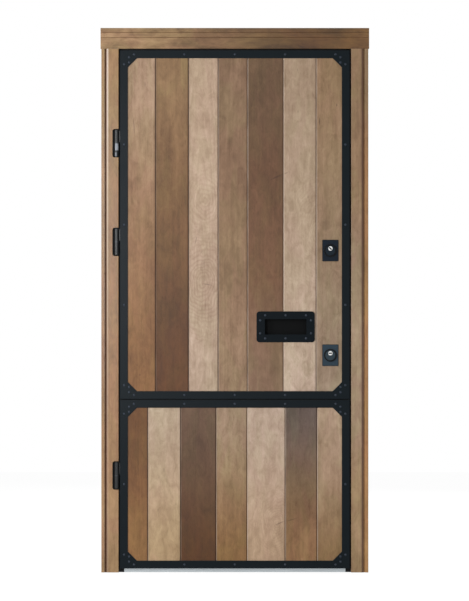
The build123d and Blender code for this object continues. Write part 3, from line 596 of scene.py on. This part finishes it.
def casingMaterial(name, board, sideways=False):
    material, tree, shader = newMaterial(name)
    point = objectPoint(tree)
    across, inward, up = split(tree, point)
    if sideways:  # the figure's long axis is turned onto X
        point = addNode(tree, "ShaderNodeMapping", {
            "Vector": point, "Rotation": (0, math.radians(-90), 0)}).outputs[0]
    wood = stainBoard(tree, point, board, board["from"], board["to"])
    worn = useGroup(tree, "edgeWear", {"Point": point, **casingWood["edge"]})["Edge"]
    color = mixColor(tree, product(tree, worn, board["edge"]), wood["Color"],
                     screenColor(*casingWood["worn"]))
    # painted shade: the colour darkens with depth below the face, in the moulding and grooves
    if "recessShade" in board:
        recessShade = board["recessShade"]
        start, full, end = (recessShade["face"] + recessShade[key] for key in ("from", "to", "end"))
        inFront = ramp(tree, inward, end, end + casingWood["recessShadeEdge"], 1.0, 0.0)
        recessShaded = product(tree, ramp(tree, inward, start, full), inFront, recessShade["depth"])
        color = mixColor(tree, recessShaded, color, screenColor(*recessShade["color"]))
    # painted highlight: a pale band on the moulding's crest, weaker towards the foot
    if "crestHighlight" in board:
        start, middle, end = board["crestHighlight"]
        paintedHighlight = product(tree, ramp(tree, across, start, middle),
                         ramp(tree, across, middle, end, 1.0, 0.0),
                         ramp(tree, up, *casingWood["crestHighlightFade"]))
        color = mixColor(tree, paintedHighlight, color, screenColor(*casingWood["crestHighlight"]))
    for left, right, softAcross, foot, head, softUp, factor in board["washes"]:
        wash = product(tree, softBand(tree, across, left, right, softAcross),
                       softBand(tree, up, foot, head, softUp))
        color = mixColor(tree, wash, color, (*factor, 1), "MULTIPLY")
    feed(tree, shader.inputs["Base Color"], color)
    feed(tree, shader.inputs["Roughness"], less(tree, wood["Roughness"], casingWood["smoother"]))
    addBump(tree, shader, wood["Height"], casingWood["bump"], casingWood["bumpDepth"])
    setShader(shader, casingWood["shader"])
    return material


def stainPiece(name, material):
    nodes[name].data.materials.clear()
    nodes[name].data.materials.append(material)


for name, board in planks.items():
    stainPiece(name, plankMaterial(name, {**usualPlank, **board}))
for name, board in casings.items():
    stainPiece(name, casingMaterial(name + "_wood", {**usualCasing, **board},
                                    sideways=name == "casing_header"))
print("wood stained:", len(planks) + len(casings), "boards")


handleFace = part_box("pull_handle")[0].y
paintCoat = {
    "mottle": 0.5,                    # how much of the second colour the mottling brings
    "dust": (150, 140, 128),
    "patch": (142, 147, 155),         # a painted reflection, in the colour of bare steel
    "reflectionPatchEdge": (0.0014, 0.002),
    "grooveShade": (4, 5, 7),              # painted shade: near-black in the groove round the guard
    "grooveShadeEdge": (0.001, 0.0006, 0.0008),
    "grooveShadeDepth": 0.9,
    "rim": (22, 22, 22),              # painted shade along the lock plate's edges
    "rimShadeWidth": 0.003,
    "rimShadeDepth": 0.8,
    "cupShadeEdge": 0.012,
    "roughMottle": 0.12,
    "roughDust": 0.25,
    "bumpDepth": 0.0002,
    "edge": {"Low": 0.02, "High": 0.25, "Breakup": 0.6},
}

# what most paints share
usualPaint = {"wear": 0.4, "dust": 0.1, "grain": 1.0, "edgeRadius": 0.0012}

# Gloss is the specular level. Patches (a painted reflection) and rims (painted shade) are (x, z,
# half width, half height), with a strength for a patch, and a ring (painted shade in a groove) is
# (x, z, inner radius, outer radius).
paints = {
    "strapPaint": {"color": (7, 16, 21), "mottle": (12, 23, 29), "worn": (58, 72, 86),
                   "wear": 0.7, "dust": 0.25, "rough": 0.3, "bump": 0.3, "gloss": 0.11},
    # the rivets are painted lighter than the straps: a painted highlight on the domes
    "rivetPaint": {"color": (26, 36, 48), "mottle": (34, 44, 56), "worn": (60, 70, 84),
                   "wear": 0.15, "dust": 0.05, "rough": 0.36, "bump": 0.1, "gloss": 0.3,
                   "edgeRadius": 0.0008},
    # the top hinge's lower knuckle, with a painted reflection
    "hingeReflectionPaint": {"color": (13, 16, 18), "mottle": (20, 25, 27), "worn": (92, 100, 104),
                    "rough": 0.27, "bump": 0.03, "gloss": 0.3,
                    "patches": [(-0.4555, 1.6415, 0.0068, 0.0145, 0.9),
                                (-0.4590, 1.6120, 0.0036, 0.0085, 0.6)]},
    "hingePaint": {"color": (11, 14, 16), "mottle": (17, 22, 24), "worn": (70, 78, 82),
                   "rough": 0.27, "bump": 0.03, "gloss": 0.36},
    "upperLockPaint": {"color": (9, 19, 30), "mottle": (16, 28, 40), "worn": (50, 58, 66),
                       "wear": 0.3, "dust": 0.15, "rough": 0.34, "bump": 0.12, "gloss": 0.13,
                       "grain": 1.4, "edgeRadius": 0.0009, "rim": (0.368, 1.2416, 0.031, 0.0415)},
    "upperGuardPaint": {"color": (9, 21, 31), "mottle": (22, 36, 46), "worn": (60, 70, 80),
                        "wear": 0.3, "rough": 0.2, "bump": 0.12, "gloss": 0.16, "grain": 1.4,
                        "edgeRadius": 0.0006, "ring": (0.368, 1.2416, 0.0205, 0.0245)},
    # the lower lock's plate and guard are a lighter copy of the upper lock's paint: painted light
    "lowerLockPaint": {"color": (40, 55, 66), "mottle": (50, 64, 74), "worn": (80, 90, 98),
                       "wear": 0.3, "dust": 0.15, "rough": 0.4, "bump": 0.12, "gloss": 0.15,
                       "grain": 1.4, "edgeRadius": 0.0009, "rim": (0.368, 0.8381, 0.031, 0.0415)},
    "lowerGuardPaint": {"color": (42, 56, 64), "mottle": (56, 68, 76), "worn": (90, 100, 110),
                        "wear": 0.3, "rough": 0.2, "bump": 0.12, "gloss": 0.16, "grain": 1.4,
                        "edgeRadius": 0.0006, "ring": (0.368, 0.8381, 0.0200, 0.0247)},
    "handlePaint": {"color": (6, 13, 18), "mottle": (11, 19, 25), "worn": (48, 60, 70),
                    "wear": 0.5, "dust": 0.2, "rough": 0.42, "bump": 0.35, "gloss": 0.07,
                    "cupFrom": handleFace + 0.003, "cupShadeColor": (3, 4, 5)},
    "framePaint": {"color": (17, 18, 20), "mottle": (24, 25, 27), "worn": (56, 58, 62),
                   "dust": 0.3, "rough": 0.45, "bump": 0.3, "gloss": 0.15, "grain": 0.8},
    "innerPaint": {"color": (20, 22, 24), "mottle": (28, 30, 32), "worn": (70, 72, 76),
                   "dust": 0.15, "rough": 0.36, "bump": 0.2, "gloss": 0.2, "grain": 1.2,
                   "edgeRadius": 0.0009},
}


def paintedMetal(name, paint):
    material, tree, shader = newMaterial(name)
    point = objectPoint(tree)
    across, inward, up = split(tree, point)
    coat = useGroup(tree, "coatTexture", {"Point": point, "Grain": paint["grain"]})
    worn = useGroup(tree, "edgeWear", {"Point": point, "Radius": paint["edgeRadius"],
                                       **paintCoat["edge"]})["Edge"]
    color = screenColor(*paint["color"])
    for strength, shown in (
            (product(tree, coat["Mottle"], paintCoat["mottle"]), paint["mottle"]),
            (product(tree, worn, paint["wear"]), paint["worn"]),
            (product(tree, coat["Dust"], paint["dust"]), paintCoat["dust"])):
        color = mixColor(tree, strength, color, screenColor(*shown))
    # painted reflection: light patches on the top hinge's lower knuckle, in the colour of bare
    # steel
    for x, z, halfWidth, halfHeight, strength in paint.get("patches", []):
        edgeAcross, edgeUp = paintCoat["reflectionPatchEdge"]
        patch = product(tree, ramp(tree, fromMiddle(tree, across, x), halfWidth - edgeAcross,
                                   halfWidth, strength, 0.0),
                        ramp(tree, fromMiddle(tree, up, z), halfHeight - edgeUp, halfHeight,
                             1.0, 0.0))
        color = mixColor(tree, patch, color, screenColor(*paintCoat["patch"]))
    # painted shade: a near-black ring in the groove round the guard
    if "ring" in paint:
        x, z, inner, outer = paint["ring"]
        before, after, beyond = paintCoat["grooveShadeEdge"]
        away = distanceFrom(tree, point, x, z)
        grooveShade = product(tree, ramp(tree, away, inner - before, inner + after),
                         ramp(tree, away, outer, outer + beyond, paintCoat["grooveShadeDepth"], 0.0))
        color = mixColor(tree, grooveShade, color, screenColor(*paintCoat["grooveShade"]))
    # painted shade: the plate darkens towards its edges
    if "rim" in paint:
        x, z, halfWidth, halfHeight = paint["rim"]
        sides = [ramp(tree, fromMiddle(tree, axis, middle), half - paintCoat["rimShadeWidth"], half)
                 for axis, middle, half in ((across, x, halfWidth), (up, z, halfHeight))]
        rim = product(tree, calc(tree, "MAXIMUM", *sides), paintCoat["rimShadeDepth"])
        color = mixColor(tree, rim, color, screenColor(*paintCoat["rim"]))
    if "cupFrom" in paint:  # painted shade: the pressed cup darkens with depth
        cupShade = ramp(tree, inward, paint["cupFrom"], paint["cupFrom"] + paintCoat["cupShadeEdge"])
        color = mixColor(tree, cupShade, color, screenColor(*paint["cupShadeColor"]))
    feed(tree, shader.inputs["Base Color"], color)
    feed(tree, shader.inputs["Roughness"], total(
        tree, paint["rough"], product(tree, coat["Mottle"], paintCoat["roughMottle"]),
        product(tree, coat["Dust"], paintCoat["roughDust"])))
    addBump(tree, shader, coat["Peel"], paint["bump"], paintCoat["bumpDepth"])
    setShader(shader, {"Specular IOR Level": paint["gloss"]})
    return material


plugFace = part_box("upper_lock_plug")[0].y
brushing = {
    "lineLimits": (0.3, 0.7),
    "roughSmears": 0.14,
    "roughLines": 0.08,
    "bumpDepth": 0.0001,
    "grime": (24, 25, 28),            # painted shade in the key slot and on the face round it
    "slotEdge": (0.0008, 0.0006),
    "slotDepth": (0.0002, 0.0008),
}
keySteel = {"light": (230, 230, 229), "dark": (200, 200, 200), "rough": 0.22, "bump": 0.1,
            "upright": 1.0}
metals = {
    "sillSteel": {"light": (190, 196, 199), "dark": (156, 162, 166), "rough": 0.26, "bump": 0.2,
                  "upright": 0.0},
    "platedSteel": {"light": (216, 216, 214), "dark": (184, 184, 182), "rough": 0.2, "bump": 0.1,
                    "upright": 1.0},
    "oiledSteel": {"light": (84, 86, 90), "dark": (56, 58, 62), "rough": 0.4, "bump": 0.1,
                   "upright": 0.0},
    "upperKeySteel": {**keySteel, "slotPlace": (0.368, plugFace, 1.2494), "slotTurn": -45,
                      "slotRim": (0.0066, 0.0025)},
    "lowerKeySteel": {**keySteel, "slotPlace": (0.368, plugFace, 0.8459), "slotTurn": 0,
                      "slotRim": (0.0066, 0.0023)},
}


# painted shade: dark in the key slot's depth and on a band of the face round the slot
def keywayShadeMask(tree, point, metal):
    along, deep, across = split(tree, turnInFace(tree, point, metal["slotPlace"],
                                                 math.radians(metal["slotTurn"])))
    sides = [ramp(tree, calc(tree, "ABSOLUTE", axis), half, half + soft, 1.0, 0.0)
             for axis, half, soft in zip((along, across), metal["slotRim"], brushing["slotEdge"])]
    return calc(tree, "MAXIMUM", product(tree, *sides), ramp(tree, deep, *brushing["slotDepth"]))


def brushedMetal(name, metal):
    material, tree, shader = newMaterial(name)
    point = objectPoint(tree)
    grain = useGroup(tree, "brushedGrain", {"Point": point, "Upright": metal["upright"]})
    lines = ramp(tree, grain["Lines"], *brushing["lineLimits"])
    color = mixColor(tree, lines, screenColor(*metal["dark"]), screenColor(*metal["light"]))
    metallic = 1.0
    if "slotPlace" in metal:
        grime = keywayShadeMask(tree, point, metal)
        color = mixColor(tree, grime, color, screenColor(*brushing["grime"]))
        metallic = less(tree, 1.0, grime)
    feed(tree, shader.inputs["Base Color"], color)
    feed(tree, shader.inputs["Metallic"], metallic)
    feed(tree, shader.inputs["Roughness"], total(
        tree, metal["rough"], product(tree, grain["Smears"], brushing["roughSmears"]),
        product(tree, lines, brushing["roughLines"])))
    addBump(tree, shader, lines, metal["bump"], brushing["bumpDepth"])
    return material


# noise values, the two screen colours, the roughness ramp, and the bump's strength and depth
fillings = {
    "rubber": {"noise": (420.0, 3, 0.6), "colors": ((16, 16, 17), (38, 38, 39)),
               "rough": (0.2, 0.8, 0.6, 0.85), "bump": (0.25, 0.0003)},
    "mineralWool": {"noise": (260.0, 5, 0.7, 1.5), "colors": ((150, 138, 96), (206, 196, 150)),
                    "rough": (0.0, 1.0, 0.85, 1.0), "bump": (0.8, 0.002)},
}


def plainFilling(name, filling):
    material, tree, shader = newMaterial(name)
    speck = noise(tree, objectPoint(tree), *filling["noise"])
    dark, light = filling["colors"]
    feed(tree, shader.inputs["Base Color"],
         mixColor(tree, speck, screenColor(*dark), screenColor(*light)))
    feed(tree, shader.inputs["Roughness"], ramp(tree, speck, *filling["rough"]))
    addBump(tree, shader, speck, *filling["bump"])
    return material


finishes = {"innerBoard": casingMaterial("innerBoard", {**usualCasing, **innerBoard})}
for name, paint in paints.items():
    finishes[name] = paintedMetal(name, {**usualPaint, **paint})
for name, metal in metals.items():
    finishes[name] = brushedMetal(name, metal)
for name, filling in fillings.items():
    finishes[name] = plainFilling(name, filling)

# the finish of each of the frame's material slots, and of the pieces that differ from it
finishOf = {"frame_paint": "framePaint", "sill_steel": "sillSteel", "strap_steel": "strapPaint",
            "hinge_steel": "hingePaint", "bright_steel": "platedSteel",
            "washer_steel": "oiledSteel", "lock_black": "upperLockPaint",
            "inner_fittings": "innerPaint", "leaf_steel": "framePaint", "wool": "mineralWool",
            "inner_board": "innerBoard", "seal_rubber": "rubber"}
pieceFinish = {"pull_handle": "handlePaint", "top_hinge_frame_half": "hingeReflectionPaint",
               "upper_lock_plug": "upperKeySteel", "lower_lock_plug": "lowerKeySteel",
               "lower_lock_plate": "lowerLockPaint", "upper_lock_guard": "upperGuardPaint",
               "lower_lock_guard": "lowerGuardPaint"}
for name, node in nodes.items():
    if name in planks or name in casings:
        continue
    for index, slot in enumerate(node.data.materials):
        label = slot.name.split(".")[0]
        if label in finishOf:
            node.data.materials[index] = finishes[finishOf[label]]
        else:
            print("no finish for", name, slot.name)
for name, finish in pieceFinish.items():
    nodes[name].data.materials[0] = finishes[finish]
print("finishes given")


rivet = {
    "radius": 0.0047,
    "rise": 0.0026,
    "rim": 0.0005,       # how high the dome's edge stands
    "sunk": 0.0002,      # how far its side runs into the strap
    "rings": 6,
    "steps": 28,
    "apart": 0.012,      # corners nearer than this are on one rivet
    "weld": 0.00001,
}


def rivetPlaces(name):
    # x and z of each CAD rivet, found from the node's own corners
    corners = [vertex.co for vertex in nodes[name].data.vertices]

    def apart(corner, first):
        return math.hypot(corner.x - first.x, corner.z - first.z)

    firsts = []
    for corner in corners:
        if all(apart(corner, first) >= rivet["apart"] for first in firsts):
            firsts.append(corner)
    groups = [[] for first in firsts]
    for corner in corners:
        nearest = min(range(len(firsts)), key=lambda index: apart(corner, firsts[index]))
        groups[nearest].append(corner)
    return [[(min(values) + max(values)) / 2
             for values in ([corner.x for corner in group], [corner.z for corner in group])]
            for group in groups]


def rivetPiece(name, replaced, seat):
    piece = bmesh.new()
    radius, rim, rings = rivet["radius"], rivet["rim"], rivet["rings"]
    for x, z in rivetPlaces(replaced):
        outline = []
        for step in range(rings + 1):  # a quarter round from the top down to the rim
            angle = math.radians(90 * step / rings)
            rise = rim + (rivet["rise"] - rim) * math.cos(angle)
            outline.append(Vector((x + radius * math.sin(angle), seat - rise, z)))
        outline.append(Vector((x + radius, seat + rivet["sunk"], z)))
        points = [piece.verts.new(place) for place in outline]
        edges = [piece.edges.new(pair) for pair in zip(points, points[1:])]
        bmesh.ops.spin(piece, geom=points + edges, cent=(x, seat, z), axis=(0, 1, 0),
                       dvec=(0, 0, 0), angle=math.tau, steps=rivet["steps"], use_merge=True,
                       use_duplicate=False)
    bmesh.ops.remove_doubles(piece, verts=piece.verts, dist=rivet["weld"])
    bmesh.ops.recalc_face_normals(piece, faces=piece.faces)
    mesh = bpy.data.meshes.new(name)
    piece.to_mesh(mesh)
    piece.free()
    mesh.materials.append(finishes["rivetPaint"])
    for face in mesh.polygons:
        face.use_smooth = True
    domes = bpy.data.objects.new(name, mesh)
    scene.collection.objects.link(domes)
    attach(domes, "leaf")
    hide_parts(replaced)


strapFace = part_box("upper_strap_frame")[0].y
rivetPiece("strapRivetsUpper", "upper_strap_rivets", strapFace)
rivetPiece("strapRivetsLower", "lower_strap_rivets", strapFace)
rivetPiece("pullRivets", "pull_handle_rivets", handleFace)
print("rivets set")


stage = {
    "floorSize": 14.0,
    "floorPale": 0.72,        # the floor as the object's light sees it
    "floorWhite": 0.93,       # how bright the floor itself looks to the camera
    "floorCatch": 0.14,       # and how much of it answers to light and shadow
    "worldLight": 0.34,
    "backdrop": 1.0,
    "cameraPlace": (-0.00135, -12.02, 1.049),
    "sensorHeight": 36.0,
    "lens": 186.4,
}
softboxes = {
    "key": {"place": (-2.25, -2.5, 1.7), "aim": (-0.1, 0.0, 1.0), "size": (0.56, 2.1),
            "watts": 66.0},
    "front": {"place": (-0.88, -3.2, 1.3), "aim": (-0.35, 0.0, 1.2), "size": (0.45, 1.2),
              "watts": 27.0},
    "back": {"place": (1.2, 4.2, 2.7), "aim": (0.0, 0.0, 1.0), "size": (2.0, 1.6),
             "watts": 110.0},
}


def grey(value):
    return (value, value, value, 1)


def cameraSees(tree):
    rays = addNode(tree, "ShaderNodeLightPath").outputs
    seen = calc(tree, "MAXIMUM", rays["Is Camera Ray"], rays["Is Glossy Ray"])
    return calc(tree, "MAXIMUM", seen, rays["Is Transmission Ray"])


def showMixed(tree, unseen, seen, kind):
    # the camera is shown one shader, and the light meets the other
    shown = addNode(tree, "ShaderNodeMixShader", {0: cameraSees(tree), 1: unseen.outputs[0],
                                                  2: seen.outputs[0]})
    output = addNode(tree, kind)
    tree.links.new(shown.outputs[0], output.inputs[0])


def layFloor():
    piece = bmesh.new()
    bmesh.ops.create_grid(piece, x_segments=1, y_segments=1, size=stage["floorSize"] / 2)
    mesh = bpy.data.meshes.new("floor")
    piece.to_mesh(mesh)
    piece.free()
    floor = bpy.data.objects.new("floor", mesh)
    scene.collection.objects.link(floor)
    material = bpy.data.materials.new("paleFloor")
    material.use_nodes = True
    tree = material.node_tree
    tree.nodes.clear()
    pale = addNode(tree, "ShaderNodeBsdfDiffuse", {"Color": grey(stage["floorPale"])})
    glow = addNode(tree, "ShaderNodeEmission", {"Strength": stage["floorWhite"]})
    catch = addNode(tree, "ShaderNodeBsdfDiffuse", {"Color": grey(stage["floorCatch"])})
    white = addNode(tree, "ShaderNodeAddShader", {0: glow.outputs[0], 1: catch.outputs[0]})
    showMixed(tree, pale, white, "ShaderNodeOutputMaterial")
    mesh.materials.append(material)


def lightStudio():
    world = bpy.data.worlds.new("studio")
    scene.world = world
    world.use_nodes = True
    tree = world.node_tree
    tree.nodes.clear()
    light, backdrop = (
        addNode(tree, "ShaderNodeBackground", {"Color": grey(1), "Strength": stage[strength]})
        for strength in ("worldLight", "backdrop"))
    showMixed(tree, light, backdrop, "ShaderNodeOutputWorld")
    for name, box in softboxes.items():
        lamp = bpy.data.lights.new(name, "AREA")
        lamp.shape = "RECTANGLE"
        lamp.size, lamp.size_y = box["size"]
        lamp.energy = box["watts"]
        softbox = bpy.data.objects.new(name, lamp)
        place, aim = Vector(box["place"]), Vector(box["aim"])
        softbox.location = place
        softbox.rotation_euler = (aim - place).to_track_quat("-Z", "Y").to_euler()
        scene.collection.objects.link(softbox)


def placeCamera():
    lens = bpy.data.cameras.new("camera")
    lens.sensor_fit = "VERTICAL"
    lens.sensor_height = stage["sensorHeight"]
    lens.lens = stage["lens"]
    camera = bpy.data.objects.new("camera", lens)
    camera.location = stage["cameraPlace"]
    camera.rotation_euler = (math.radians(90), 0, 0)
    scene.collection.objects.link(camera)
    scene.camera = camera
    scene.view_settings.view_transform = "Standard"


layFloor()
lightStudio()
placeCamera()
print("stage ready")
